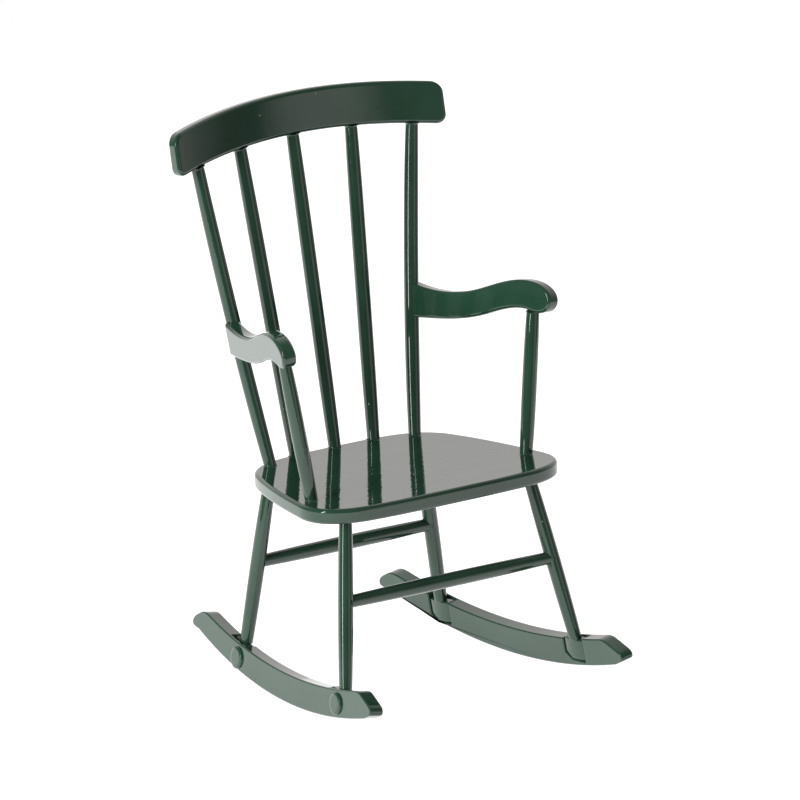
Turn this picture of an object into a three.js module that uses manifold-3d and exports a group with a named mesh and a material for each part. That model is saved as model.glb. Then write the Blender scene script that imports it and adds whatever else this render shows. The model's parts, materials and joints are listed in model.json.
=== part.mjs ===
// Miniature stick-back rocking chair in painted metal, in millimetres.
// The chair is drawn level, with the top of the seat at z = 0 and its front towards -y.
// The finished group is then tilted to the attitude in which it balances on its rockers.
import * as THREE from 'three';
import { mergeVertices } from 'three/addons/utils/BufferGeometryUtils.js';
import Module from 'manifold-3d';

const wasm = await Module();
wasm.setup();

// ---- driving dimensions ----------------------------------------------------------------
const DEG = Math.PI / 180;
const CLEARANCE = 0.1;            // round a tenon in its socket
const SEAM = 0.05;                // between the end of a stick and the surface it stands on
const TILT = 6.2 * DEG;           // backward lean of the seat at rest, where the chair balances
const PLATE = 3.7;                // gauge of the crest rail, the arms and the rockers
const SPLAY = 8.4 * DEG;          // outward lean of the arm posts and of the side frames below

const SEAT = { thickness: 3.8, edge: 0.7, back: 2.1, front: -52, backHalf: 28.8, frontHalf: 35.3 };

// the sticks of the back: where each axis meets the seat and where it ends under the crest rail,
// with radii given at fractions of the length between
const STICK_PROFILE = [
  [0, 1.56], [0.08, 1.66], [0.25, 1.78], [0.5, 1.8], [0.8, 1.76], [0.93, 1.6], [1, 1.5],
];
const CENTRE_SPINDLE = { foot: [0, 0.1, 0], head: [0, 12.2, 75.5], bow: 0 };
const SIDE_SPINDLE = { foot: [11.2, 0.2, 0], head: [16.0, 10.9, 74.6], bow: 0 };
const BACK_POST = { foot: [20.8, -3.3, 0], head: [30.9, 6.9, 73.0], bow: 0.9 };

const ARM_POST = {
  foot: [30.8, -36.8, 0],
  head: [35.7, -35.4, 34.0],
  profile: [[0, 1.6], [0.15, 1.7], [0.45, 1.82], [0.8, 1.66], [1, 1.52]],
};

const LEG_PROFILE = [[0, 1.55], [0.15, 1.64], [0.45, 1.84], [0.65, 1.82], [0.88, 1.64], [1, 1.55]];
const FRONT_LEG = { head: [26.4, -44.5, -3.8], foot: [33.1, -51.2, -43.4] };
const BACK_LEG = { head: [21.8, -4.2, -3.8], foot: [28.1, 0.1, -43.0] };

const STRETCHER_LEVEL = -23.4;
const STRETCHER_PROFILE = [[0, 1.54], [0.12, 1.6], [0.5, 1.8], [0.88, 1.6], [1, 1.54]];

// the crest rail: a board bent to an arc in plan, leaning back with the sticks
const CREST = {
  radius: 104, middle: [12.2, 75.8], lean: 9.2 * DEG,
  halfLength: 38.6, height: 10.4, arch: 3.6, drop: 3.6, corner: 2.6,
};

// the arms: the side outline has s along the arm from the post and w up, both in its leaning plane
const ARM = { x: 35.9, y: -35.4, z: 34.0, plan: 14.5 * DEG, backEnd: -38.9 };

// the rockers: s along the rocker from the back leg and w up, both in its leaning plane
const ROCKER = {
  x: 29.1, y: 0, z: -43.0, plan: 5.5 * DEG,
  topCentre: [27.2, 167.5], topRadius: 169.5, arcRear: -15, arcFront: 61.2, tail: -22.7, nose: 69.4,
};
const SOLE = { y: -28.6, z: 101.5, radius: 153.6, facet: 1.8 * DEG, rear: -15.3 * DEG, nose: 25 * DEG };
const FOOT = { front: 51.1, back: -0.2, width: 7.0, depth: 2.7, top: -0.4, bottom: -5.6, chamfer: 1.6 };
const FOOT_GAP = 0.2;             // between a foot block and the walls of its notch
const RIVET = { head: 2.75, height: 0.7, shank: 1.0, reach: 0.7, level: -3.6, forward: 1.5 };
const RIVET_PROFILE = [[0, 0], [1, 0], [1, 0.35], [0.88, 0.75], [0.5, 0.95], [0, 1]];
const RIVET_GAP = 0.02;           // under the head of a rivet

const TENON = { radius: 1.0, depth: 1.5, root: 1.0 };
const STRETCHER_TENON = { radius: 0.85, depth: 1.3 };

// ---- fineness of the mesh --------------------------------------------------------------
const SIDES = 12;                 // facets round a turned piece
const RINGS = 8;                  // rings along it
const RIVET_SIDES = 16;
const CREST_BAND = { half: 20, reach: 28 * DEG, steps: 22 };
const OVERRUN = 1.2;              // extra length of a stick before its end is cut level
const WIDE = 60;                  // deeper than any piece it cuts

// ---- small helpers ---------------------------------------------------------------------
const vector = (p) => new THREE.Vector3(...p);
const point = (p) => new THREE.Vector2(...p);

function toSolid(geometry) {
  const bare = geometry.clone();
  bare.deleteAttribute('normal');
  bare.deleteAttribute('uv');
  const merged = mergeVertices(bare, 1e-4);
  return new wasm.Manifold(new wasm.Mesh({
    numProp: 3,
    vertProperties: new Float32Array(merged.attributes.position.array),
    triVerts: new Uint32Array(merged.index.array),
  }));
}

function toMesh(name, solid, material) {
  const raw = solid.getMesh();
  const geometry = new THREE.BufferGeometry();
  geometry.setAttribute('position', new THREE.BufferAttribute(new Float32Array(raw.vertProperties), 3));
  geometry.setIndex(new THREE.BufferAttribute(new Uint32Array(raw.triVerts), 1));
  geometry.computeVertexNormals();
  const mesh = new THREE.Mesh(geometry, material);
  mesh.name = name;
  return mesh;
}

// stands local +y along the line from one point to another
function alongLine(from, to) {
  const axis = new THREE.Vector3().subVectors(to, from).normalize();
  const turn = new THREE.Quaternion().setFromUnitVectors(new THREE.Vector3(0, 1, 0), axis);
  return new THREE.Matrix4().compose(from, turn, new THREE.Vector3(1, 1, 1));
}

// radius of a turned piece at a fraction of its length, as a smooth curve through the profile
function radiusAt(profile, fraction) {
  const curve = new THREE.SplineCurve(profile.map(point));
  let low = 0;
  let high = 1;
  for (let i = 0; i < 24; i += 1) {
    const middle = (low + high) / 2;
    if (curve.getPoint(middle).x < fraction) low = middle;
    else high = middle;
  }
  return curve.getPoint(low).y;
}

// a turned piece between two points, run on past each end by a given length
function turned(from, to, profile, { past = [0, 0], grow = 0, bow = 0 } = {}) {
  const length = from.distanceTo(to);
  const rim = [];
  for (let i = 0; i <= RINGS; i += 1) {
    rim.push(new THREE.Vector2(radiusAt(profile, i / RINGS) + grow, (i / RINGS) * length));
  }
  if (past[0] > 0) rim.unshift(new THREE.Vector2(rim[0].x, -past[0]));
  if (past[1] > 0) rim.push(new THREE.Vector2(rim.at(-1).x, length + past[1]));
  const outline = [new THREE.Vector2(0, rim[0].y), ...rim, new THREE.Vector2(0, rim.at(-1).y)];
  const geometry = new THREE.LatheGeometry(outline, SIDES);
  geometry.applyMatrix4(alongLine(from, to));
  if (bow > 0) bend(geometry, from.z, to.z, bow);
  return toSolid(geometry);
}

// pushes the middle of a standing piece backwards
function bend(geometry, low, high, bow) {
  const position = geometry.attributes.position;
  for (let i = 0; i < position.count; i += 1) {
    const t = (position.getZ(i) - low) / (high - low);
    position.setY(i, position.getY(i) + bow * 4 * t * (1 - t));
  }
}

// a plain round peg that starts at a point and runs along a direction
function peg(from, direction, radius, length) {
  const outline = [[0, 0], [radius, 0], [radius, length], [0, length]].map(point);
  const geometry = new THREE.LatheGeometry(outline, SIDES);
  geometry.applyMatrix4(alongLine(from, from.clone().add(direction)));
  return toSolid(geometry);
}

// a block with its top or its bottom on a level plane, wide enough to trim any piece
function trimmer(low, high) {
  const geometry = new THREE.BoxGeometry(3 * WIDE, 3 * WIDE, high - low);
  geometry.translate(0, 0, (low + high) / 2);
  return toSolid(geometry);
}

// the leaning plane of a left-hand plate: x runs forward along it, y up and z inwards
function leaningPlane({ x, y, z, plan }, lean) {
  const along = new THREE.Vector3(Math.sin(plan), -Math.cos(plan), 0);
  const rise = new THREE.Vector3(Math.sin(lean), 0, Math.cos(lean));
  const inward = new THREE.Vector3().crossVectors(along, rise).normalize();
  const up = new THREE.Vector3().crossVectors(inward, along);
  return new THREE.Matrix4().makeBasis(along, up, inward).setPosition(x, y, z);
}

// a flat plate of a given outline in a leaning plane, between two inward offsets
function plate(shape, plane, from, to, curveSegments = 10) {
  const depth = to - from;
  const geometry = new THREE.ExtrudeGeometry(shape, { depth, bevelEnabled: false, curveSegments });
  geometry.translate(0, 0, from);
  geometry.applyMatrix4(plane);
  return toSolid(geometry);
}

// ---- seat ------------------------------------------------------------------------------
function seatBlank() {
  const { back, front, backHalf, frontHalf, thickness, edge } = SEAT;
  const shape = new THREE.Shape();
  shape.moveTo(0, back - edge);
  for (const side of [1, -1]) {
    const x = (half) => side * (half - edge);
    const right = [
      [x(15), back - edge, x(24), back - 0.6 - edge, x(backHalf - 0.8), -7.5],
      [x(backHalf + 2.2), -15, x(frontHalf - 1.4), -28, x(frontHalf), -38],
      [x(frontHalf + 1.2), -46.5, x(frontHalf - 5), front + 1.2 + edge, x(22), front + 0.6 + edge],
      [x(15), front + edge, x(8), front + edge, 0, front + edge],
    ];
    if (side > 0) right.forEach((c) => shape.bezierCurveTo(...c));
    else mirrored(right, [0, back - edge]).forEach((c) => shape.bezierCurveTo(...c));
  }
  const geometry = new THREE.ExtrudeGeometry(shape, {
    depth: thickness - 2 * edge,
    curveSegments: 6,
    bevelEnabled: true,
    bevelThickness: edge,
    bevelSize: edge,
    bevelSegments: 1,
  });
  geometry.translate(0, 0, edge - thickness);
  return toSolid(geometry);
}

// the same chain of curves walked backwards
function mirrored(chain, start) {
  const reversed = [];
  for (let i = chain.length - 1; i >= 0; i -= 1) {
    const end = i > 0 ? chain[i - 1].slice(4) : start;
    const [ax, ay, bx, by] = chain[i];
    reversed.push([bx, by, ax, ay, ...end]);
  }
  return reversed;
}

// ---- back ------------------------------------------------------------------------------
function crestOutline() {
  const { halfLength: h, height, arch, drop, corner: c } = CREST;
  const shape = new THREE.Shape();
  const low = -arch;
  const high = height - drop;
  shape.moveTo(c - h, low);
  shape.quadraticCurveTo(0, arch, h - c, low);
  shape.quadraticCurveTo(h, low, h, low + c);
  shape.lineTo(h, high - c);
  shape.quadraticCurveTo(h, high, h - c, high);
  shape.quadraticCurveTo(0, height + drop, c - h, high);
  shape.quadraticCurveTo(-h, high, -h, high - c);
  shape.lineTo(-h, low + c);
  shape.quadraticCurveTo(-h, low, c - h, low);
  return shape;
}

// a tall band bent to the plan arc, cut to the outline seen from the front
function crestBlank() {
  const { half, reach, steps } = CREST_BAND;
  const arc = [];
  for (let i = 0; i <= steps; i += 1) {
    const angle = reach * ((2 * i) / steps - 1);
    arc.push(new THREE.Vector3(CREST.radius * Math.sin(angle), CREST.radius * (Math.cos(angle) - 1), 0));
  }
  const section = new THREE.Shape();
  section.moveTo(-half, -PLATE / 2);
  section.lineTo(half, -PLATE / 2);
  section.lineTo(half, PLATE / 2);
  section.lineTo(-half, PLATE / 2);
  const band = new THREE.ExtrudeGeometry(section, {
    steps, extrudePath: new THREE.CatmullRomCurve3(arc), bevelEnabled: false,
  });
  const outline = new THREE.ExtrudeGeometry(crestOutline(), {
    depth: WIDE, bevelEnabled: false, curveSegments: 12,
  });
  outline.rotateX(Math.PI / 2);
  outline.translate(0, WIDE / 2, 0);
  const [y, z] = CREST.middle;
  const place = new THREE.Matrix4().makeRotationX(-CREST.lean).setPosition(0, y, z);
  return toSolid(band).intersect(toSolid(outline)).transform(place.elements);
}

// ---- standing sticks -------------------------------------------------------------------
// a stick with a tenon at each end, trimmed level at the seat
function stick({ foot, head, bow = 0 }, profile, trim) {
  const [from, to] = [vector(foot), vector(head)];
  const pegs = tenons({ foot, head, bow }, 0);
  return turned(from, to, profile, { past: [OVERRUN, 0], bow })
    .subtract(trim).add(pegs.low).add(pegs.high);
}

// the two tenons of a stick, or with a clearance the sockets for them
function tenons({ foot, head, bow = 0 }, gap) {
  const [from, to] = [vector(foot), vector(head)];
  const lean = (sign) => new THREE.Vector3(0, (sign * 4 * bow) / (to.z - from.z), 0);
  const axis = new THREE.Vector3().subVectors(to, from).divideScalar(to.z - from.z);
  const down = axis.clone().add(lean(1)).normalize().negate();
  const up = axis.clone().add(lean(-1)).normalize();
  const { radius, depth, root } = TENON;
  const length = root + depth + gap;
  return {
    low: peg(from.clone().addScaledVector(down, -root), down, radius + gap, length),
    high: peg(to.clone().addScaledVector(up, -root), up, radius + gap, length),
  };
}

// ---- arms ------------------------------------------------------------------------------
function armOutline() {
  const shape = new THREE.Shape();
  const back = ARM.backEnd;
  shape.moveTo(back, -6.4);
  shape.bezierCurveTo(-29, -5.6, -22, -5.2, -14, -2.3);
  shape.bezierCurveTo(-8.5, -0.2, -4, 1.2, 0, 0.35);
  shape.bezierCurveTo(2.4, -0.2, 5.0, 0.2, 6.0, 2.1);
  shape.bezierCurveTo(7.2, 4.4, 5.0, 7.7, -1.5, 7.7);
  shape.bezierCurveTo(-8.5, 7.7, -15, 3.7, -21, 2.4);
  shape.bezierCurveTo(-27, 1.1, -33, 0.9, back, 2.2);
  return shape;
}

// ---- legs and rockers ------------------------------------------------------------------
// the corners of the faceted sole, where its facets meet a rocker's inner face, from tail to
// nose; its middle facet is level when the chair is at rest
function soleCorners(plane) {
  const { y, z, radius, facet, rear, nose } = SOLE;
  const cornerRadius = radius / Math.cos(facet / 2);
  const toPlane = plane.clone().invert();
  const inward = new THREE.Vector3().setFromMatrixColumn(plane, 2);
  const face = new THREE.Vector3(0, 0, PLATE / 2).applyMatrix4(plane).dot(inward);
  const corners = [];
  for (let angle = rear + facet / 2; angle < nose; angle += facet) {
    const corner = new THREE.Vector3(
      0, y - cornerRadius * Math.sin(angle - TILT), z - cornerRadius * Math.cos(angle - TILT));
    corner.x = (face - corner.dot(inward)) / inward.x;
    corners.push(corner.applyMatrix4(toPlane));
  }
  return corners;
}

function rockerOutline(plane) {
  const { topCentre: [s, w], topRadius, arcRear, arcFront, tail, nose } = ROCKER;
  const angle = (x) => Math.asin((x - s) / topRadius) - Math.PI / 2;
  const shape = new THREE.Shape();
  shape.moveTo(tail, -0.5);
  soleCorners(plane)
    .filter(({ x }) => x > tail + 2 && x < nose - 1)
    .forEach(({ x, y }) => shape.lineTo(x, y));
  shape.lineTo(nose, -2.4);
  shape.quadraticCurveTo(nose + 0.5, -1.4, nose - 0.5, -0.9);
  shape.lineTo(64.0, 1.16);
  shape.quadraticCurveTo(62.66, 1.72, arcFront, w + topRadius * Math.sin(angle(arcFront)));
  shape.absarc(s, w, topRadius, angle(arcFront), angle(arcRear), true);
  shape.bezierCurveTo(-16.8, 3.8, -18.2, 3.7, -19.8, 2.9);
  shape.quadraticCurveTo(tail - 1.2, 1.2, tail, -0.5);
  return shape;
}

// the block at the foot of a leg, or with a gap the notch that takes it
function footBlock(at, plane, gap = 0) {
  const { width, depth, top, bottom, chamfer } = FOOT;
  const [low, high] = [at - width / 2 - gap, at + width / 2 + gap];
  const floor = bottom - gap;
  const roof = gap > 0 ? WIDE / 2 : top;
  const shape = new THREE.Shape();
  shape.moveTo(low, roof);
  shape.lineTo(low, floor + chamfer);
  shape.lineTo(low + 1.6 * chamfer, floor);
  shape.lineTo(high, floor);
  shape.lineTo(high, roof);
  const face = PLATE / 2;
  return plate(shape, plane, face - depth - gap, gap > 0 ? face + depth : face);
}

// the tenon at the head of a leg, or with a clearance the socket for it
function legTenon(line, gap) {
  const head = vector(line.head);
  const up = head.clone().sub(vector(line.foot)).normalize();
  const { radius, depth, root } = TENON;
  return peg(head.clone().addScaledVector(up, -root), up, radius + gap, root + depth + gap);
}

function leg(line, at, plane, trim) {
  return turned(vector(line.head), vector(line.foot), LEG_PROFILE, { past: [OVERRUN, 0.9] })
    .subtract(trim).add(legTenon(line, 0)).add(footBlock(at, plane));
}

// the axis of a rivet: a point at a given distance outside the plate's middle, and its direction
function rivetAxis(at, plane) {
  const outward = new THREE.Vector3().setFromMatrixColumn(plane, 2).negate();
  const centre = (out) => new THREE.Vector3(at + RIVET.forward, RIVET.level, -out).applyMatrix4(plane);
  return { centre, outward };
}

// a low domed head on the outer face, with a shank into the foot block
function rivet(at, plane) {
  const { head, height, shank, reach } = RIVET;
  const { centre, outward } = rivetAxis(at, plane);
  const face = PLATE / 2 + RIVET_GAP;
  const dome = RIVET_PROFILE.map(([radius, rise]) => point([radius * head, rise * height]));
  const geometry = new THREE.LatheGeometry(dome, RIVET_SIDES);
  geometry.applyMatrix4(alongLine(centre(face), centre(face + 1)));
  return toSolid(geometry).add(peg(centre(-reach), outward, shank, reach + face + height / 2));
}

function rivetHole(at, plane) {
  const { centre, outward } = rivetAxis(at, plane);
  return peg(centre(-RIVET.reach - CLEARANCE), outward, RIVET.shank + CLEARANCE, 2 * PLATE);
}

// a bar between the two legs of a pair, with a tenon at each end, and the socket for a left one
function stretcher(line) {
  const t = (STRETCHER_LEVEL - line.head[2]) / (line.foot[2] - line.head[2]);
  const [x, y] = [0, 1].map((i) => line.head[i] + t * (line.foot[i] - line.head[i]));
  const ends = [1, -1].map((side) => new THREE.Vector3(side * x, y, STRETCHER_LEVEL));
  const legShape = turned(vector(line.head), vector(line.foot), LEG_PROFILE, { grow: CLEARANCE });
  const middle = new THREE.Vector3(0, y, STRETCHER_LEVEL);
  const { radius, depth } = STRETCHER_TENON;
  const toLeg = x - Math.max(...LEG_PROFILE.map(([, r]) => r));
  const tenon = (gap) => peg(middle, new THREE.Vector3(1, 0, 0), radius + gap, toLeg + depth + gap);
  const bar = turned(ends[0], ends[1], STRETCHER_PROFILE).subtract(legShape).subtract(mirror(legShape));
  return { bar: bar.add(tenon(0)).add(mirror(tenon(0))), socket: tenon(CLEARANCE) };
}

const mirror = (solid) => solid.mirror([1, 0, 0]);

// ---- assembly --------------------------------------------------------------------------
const paint = new THREE.MeshStandardMaterial({ color: 0x1f3d2d, roughness: 0.12, metalness: 0 });
const chair = new THREE.Group();
const add = (name, solid) => chair.add(toMesh(name, solid, paint));
const addPair = (name, solid) => {
  add(`${name}_left`, solid);
  add(`${name}_right`, mirror(solid));
};

const belowSeatTop = trimmer(-WIDE, SEAM);
const aboveSeatBase = trimmer(-SEAT.thickness - SEAM, WIDE);

let seat = seatBlank();
let crest = crestBlank();
let armLeft = plate(armOutline(), leaningPlane(ARM, SPLAY), -PLATE / 2, PLATE / 2);

const socketsOf = (line) => tenons(line, CLEARANCE);
for (const line of [SIDE_SPINDLE, BACK_POST, ARM_POST]) {
  const { low } = socketsOf(line);
  seat = seat.subtract(low).subtract(mirror(low));
}
seat = seat.subtract(socketsOf(CENTRE_SPINDLE).low);
for (const line of [SIDE_SPINDLE, BACK_POST]) {
  const { high } = socketsOf(line);
  crest = crest.subtract(high).subtract(mirror(high));
}
crest = crest.subtract(socketsOf(CENTRE_SPINDLE).high);
const { foot: postFoot, head: postHead, bow } = BACK_POST;
armLeft = armLeft.subtract(socketsOf(ARM_POST).high)
  .subtract(turned(vector(postFoot), vector(postHead), STICK_PROFILE, { grow: CLEARANCE, bow }));

const rockerPlane = leaningPlane(ROCKER, -SPLAY);
let rockerLeft = plate(rockerOutline(rockerPlane), rockerPlane, -PLATE / 2, PLATE / 2, 16);

const legs = [['front', FRONT_LEG, FOOT.front], ['back', BACK_LEG, FOOT.back]];
for (const [end, line, at] of legs) {
  const socket = legTenon(line, CLEARANCE);
  seat = seat.subtract(socket).subtract(mirror(socket));
  const hole = rivetHole(at, rockerPlane);
  rockerLeft = rockerLeft.subtract(footBlock(at, rockerPlane, FOOT_GAP)).subtract(hole);
  const cross = stretcher(line);
  addPair(`leg_${end}`, leg(line, at, rockerPlane, aboveSeatBase).subtract(hole).subtract(cross.socket));
  add(`stretcher_${end}`, cross.bar);
  addPair(`rivet_${end}`, rivet(at, rockerPlane));
}

add('seat', seat);
add('crest_rail', crest);
add('back_spindle_centre', stick(CENTRE_SPINDLE, STICK_PROFILE, belowSeatTop));
addPair('back_spindle', stick(SIDE_SPINDLE, STICK_PROFILE, belowSeatTop));
addPair('back_post', stick(BACK_POST, STICK_PROFILE, belowSeatTop));
addPair('arm_post', stick(ARM_POST, ARM_POST.profile, belowSeatTop));
addPair('arm', armLeft);
addPair('rocker', rockerLeft);

// tilt to the attitude of rest and stand the chair on the floor, centred on the origin
chair.rotation.x = -TILT;
chair.updateMatrixWorld(true);
const bounds = new THREE.Box3().setFromObject(chair, true);
const centre = bounds.getCenter(new THREE.Vector3());
chair.position.set(-centre.x, -centre.y, -bounds.min.z);
chair.updateMatrixWorld(true);

export default chair;
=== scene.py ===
"""Miniature stick-back rocking chair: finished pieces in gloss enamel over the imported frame."""
import json
from math import atan2, ceil, cos, degrees, pi, radians, sin, sqrt

import bmesh
import bpy
from bpy.props import FloatProperty, FloatVectorProperty, IntProperty, PointerProperty
from mathutils import Matrix, Vector
from mathutils.geometry import interpolate_bezier


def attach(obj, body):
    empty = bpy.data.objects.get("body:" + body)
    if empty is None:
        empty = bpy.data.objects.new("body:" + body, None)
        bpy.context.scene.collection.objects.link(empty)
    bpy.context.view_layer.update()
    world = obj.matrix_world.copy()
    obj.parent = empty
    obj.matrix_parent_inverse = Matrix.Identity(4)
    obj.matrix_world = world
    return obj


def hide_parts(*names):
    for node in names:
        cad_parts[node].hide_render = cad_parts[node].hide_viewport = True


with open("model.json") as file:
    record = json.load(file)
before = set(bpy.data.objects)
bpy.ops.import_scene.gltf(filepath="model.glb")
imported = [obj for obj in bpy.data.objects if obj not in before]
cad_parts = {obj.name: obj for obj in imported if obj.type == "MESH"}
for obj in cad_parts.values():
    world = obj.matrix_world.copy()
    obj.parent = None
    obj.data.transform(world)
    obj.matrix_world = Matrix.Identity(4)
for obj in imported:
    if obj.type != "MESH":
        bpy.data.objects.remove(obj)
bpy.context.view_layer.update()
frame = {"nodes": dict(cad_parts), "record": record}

bl_info = {
    "name": "Miniature Rocking Chair",
    "version": (1, 0, 0),
    "blender": (4, 5, 0),
    "location": "View3D > Sidebar > Rocking Chair",
    "description": "Builds the enamelled pieces of a miniature metal rocking chair over its frame",
    "category": "Object",
}

MM = 0.001

# ---- the seat's own frame -------------------------------------------------------------------
# The chair leans back as it stands on its rockers, so its pieces are laid out in the frame of
# the seat: z = 0 on the seat's flat top, -y to the front, +x to the sitter's left.
SEAT_TOP = frame["record"]["mounts"][0]
LEAN = atan2(SEAT_TOP["axis"][1], SEAT_TOP["axis"][2])
BACK_EDGE = 2.1 * MM              # the seat's back edge is this far behind the frame's origin


def seat_frame():
    """The matrix from the seat's frame to the chair's."""
    turn = Matrix.Rotation(-LEAN, 4, "X")
    start = Vector((0, *SEAT_TOP["pos_m"][1:]))
    back = max((turn.inverted() @ (v.co - start)).y for v in frame["nodes"]["seat"].data.vertices)
    return Matrix.Translation(start + turn @ Vector((0, back - BACK_EDGE, 0))) @ turn


LEVEL = seat_frame()
TO_LEVEL = LEVEL.inverted()

# ---- driving sizes, in millimetres in the seat's frame, and angles in degrees ---------------
PLATE = 3.7                       # gauge of the CAD plates
TENON = 1.5                       # how deep a stick's peg sits in the piece that holds it
PEG_SIDES = 12                    # corner points round the end of a peg
SINK = 0.05                       # how far the end of a piece is let into its neighbour
SHORT_PEG = 0.54                  # a stretcher's peg stops this far short of the leg's axis
SHARP = 35                        # an edge that turns more than this is rounded

# The seat's half widths at the back and the front, and its front edge's y
SEAT = {"thickness": 3.8, "back_half": 28.8, "front_half": 35.3, "front": -52.0}
# The crest rail: y and z of its lower edge's middle, and the arch and the drop, which are how
# far its lower and its upper edge fall towards its ends
CREST = {
    "radius": 104.0, "middle": (12.2, 75.8), "lean": 9.2, "half_length": 38.6, "height": 10.4,
    "arch": 3.6, "drop": 3.5, "corner": 2.6,
}
# Turned pieces: a greater fullness keeps a stick thick for more of its length. Only the two
# outer back sticks are bowed. An arm post is a little thicker than a back stick, and its head
# slopes to meet the arm. A leg's foot is the level of its lower end. A stretcher is a little
# thinner than a leg, and stops short of its axis.
BACK_STICK = {"fullness": 3.2, "bow": 0.9}
ARM_POST = {
    "end_more": 0.06, "middle_more": 0.05, "fullness": 2.6, "head_fillet": 0.15,
    "into_arm": 0.45, "slope": (0.1, 0.02),
}
LEG = {"fullness": 2.2, "foot": -43.4, "foot_rounding": 0.45}
STRETCHER = {"fullness": 2.2, "end_less": 0.05, "middle_less": 0.1, "short": 0.8}
ARM_BACK = -38.9                  # end of the arm behind its post
ROCKER_DATUM = (0.0, -43.0)       # y and z where a rocker's own axes start
# A rocker's top and sole are arcs about a centre, and the sole's angles are from straight below
# it. The nose and the tail are corner points, along the rocker and up from its datum, and the
# sole ends clear of them.
ROCKER_TOP = {"centre": (27.2, 167.5), "radius": 169.5, "rear": -15.0, "front": 61.2, "step": 1.2}
ROCKER_NOSE = {"tip": (69.2, -2.9), "bend": (70.0, -1.5), "brow": (68.2, -0.6),
               "bevel": (64.0, 1.16), "ease": (62.66, 1.72)}
ROCKER_TAIL = {"hump": (-19.8, 2.9), "bend": (-23.9, 1.2), "tip": (-22.7, -0.5),
               "ease": (-22.3, -0.95)}
SOLE = {"centre": (-28.6, 101.5), "radius": 153.6, "rear": -16.0, "nose": 25.0, "steps": 72,
        "nose_clear": 1.2, "tail_clear": 1.6}
# A leg's flat foot, at its places along the rocker. The slant is how far its chamfer runs for
# each step up, and the crown is the share of its bulge that stands proud of the rocker's face.
FOOT = {
    "places": {"front": 51.1, "back": -0.2}, "width": 7.0, "depth": 2.7, "top": -0.4,
    "bottom": -5.6, "chamfer": 1.6, "slant": 1.6, "bulge": 0.45, "crown": 0.2, "slices": 10,
    "edge": 0.35,
}
# The notch leaves a gap round the foot. Its cutter passes the rocker's top and inner face.
NOTCH = {"gap": 0.2, "top": 12, "past_face": 3}
# A rivet's place from the middle of the foot and the datum, and its head: the height of its
# rim, the facets round it, the circles across it, and the powers that keep its top flat and
# its edge round.
RIVET = {"level": -3.6, "forward": 1.5, "rim": 0.4, "sides": 56, "circles": 28,
         "flatness": 7.0, "roundness": 0.5}


# ---- settings -------------------------------------------------------------------------------
def linear(colour):
    """A hex sRGB colour as linear red, green and blue."""
    parts = [int(colour[i:i + 2], 16) / 255 for i in (1, 3, 5)]
    return [p / 12.92 if p <= 0.04045 else ((p + 0.055) / 1.055) ** 2.4 for p in parts]


class ChairShape(bpy.types.PropertyGroup):
    """Sizes of the finished metalwork."""
    plate: FloatProperty(
        name="Plate", description="Gauge of the crest rail, the arms and the rockers",
        default=PLATE * MM, min=1 * MM, unit="LENGTH")
    edge: FloatProperty(
        name="Edge rounding", description="Radius of the painted edges of the plates",
        default=0.85 * MM, min=0.1 * MM, unit="LENGTH")
    crest_edge: FloatProperty(
        name="Crest edge rounding", description="Radius of the crest rail's edges",
        default=1.05 * MM, min=0.1 * MM, unit="LENGTH")
    seat_edge: FloatProperty(
        name="Seat edge rounding", description="Radius of the seat's edge",
        default=0.95 * MM, min=0.1 * MM, unit="LENGTH")
    stick_end: FloatProperty(
        name="Stick end", description="Thickness of a back stick at its ends",
        default=3.08 * MM, min=1 * MM, unit="LENGTH")
    stick_middle: FloatProperty(
        name="Stick middle", description="Thickness of a back stick at its middle",
        default=3.6 * MM, min=1 * MM, unit="LENGTH")
    leg_end: FloatProperty(
        name="Leg end", description="Thickness of a leg at its ends",
        default=3.1 * MM, min=1 * MM, unit="LENGTH")
    leg_middle: FloatProperty(
        name="Leg middle", description="Thickness of a leg at its middle",
        default=3.7 * MM, min=1 * MM, unit="LENGTH")
    fillet: FloatProperty(
        name="Paint fillet", description="Radius of the paint that pools round each joint",
        default=0.4 * MM, min=0, unit="LENGTH")
    rivet: FloatProperty(
        name="Rivet head", description="Diameter of a rivet's head",
        default=5.5 * MM, min=1 * MM, unit="LENGTH")
    rivet_height: FloatProperty(
        name="Rivet height", description="How far a rivet's head rises above its low rim",
        default=0.5 * MM, min=0.1 * MM, unit="LENGTH")
    sides: IntProperty(
        name="Sides", description="Facets round a turned piece", default=48, min=12)
    rings: IntProperty(
        name="Rings", description="Rings along a turned piece", default=96, min=16)


class ChairFinish(bpy.types.PropertyGroup):
    """Colours and gloss of the enamel."""
    enamel: FloatVectorProperty(
        name="Enamel", description="Colour of the enamel", subtype="COLOR", size=3,
        default=linear("#183124"), min=0, max=1)
    thin: FloatVectorProperty(
        name="Thin enamel", description="Colour of the enamel where it has drawn thin",
        subtype="COLOR", size=3, default=linear("#233d30"), min=0, max=1)
    dust: FloatVectorProperty(
        name="Dust", description="Colour of the specks caught in the enamel",
        subtype="COLOR", size=3, default=linear("#79897e"), min=0, max=1)
    gloss: FloatProperty(
        name="Roughness", description="Roughness of the enamel under its glaze",
        default=0.045, min=0, max=1)


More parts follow.
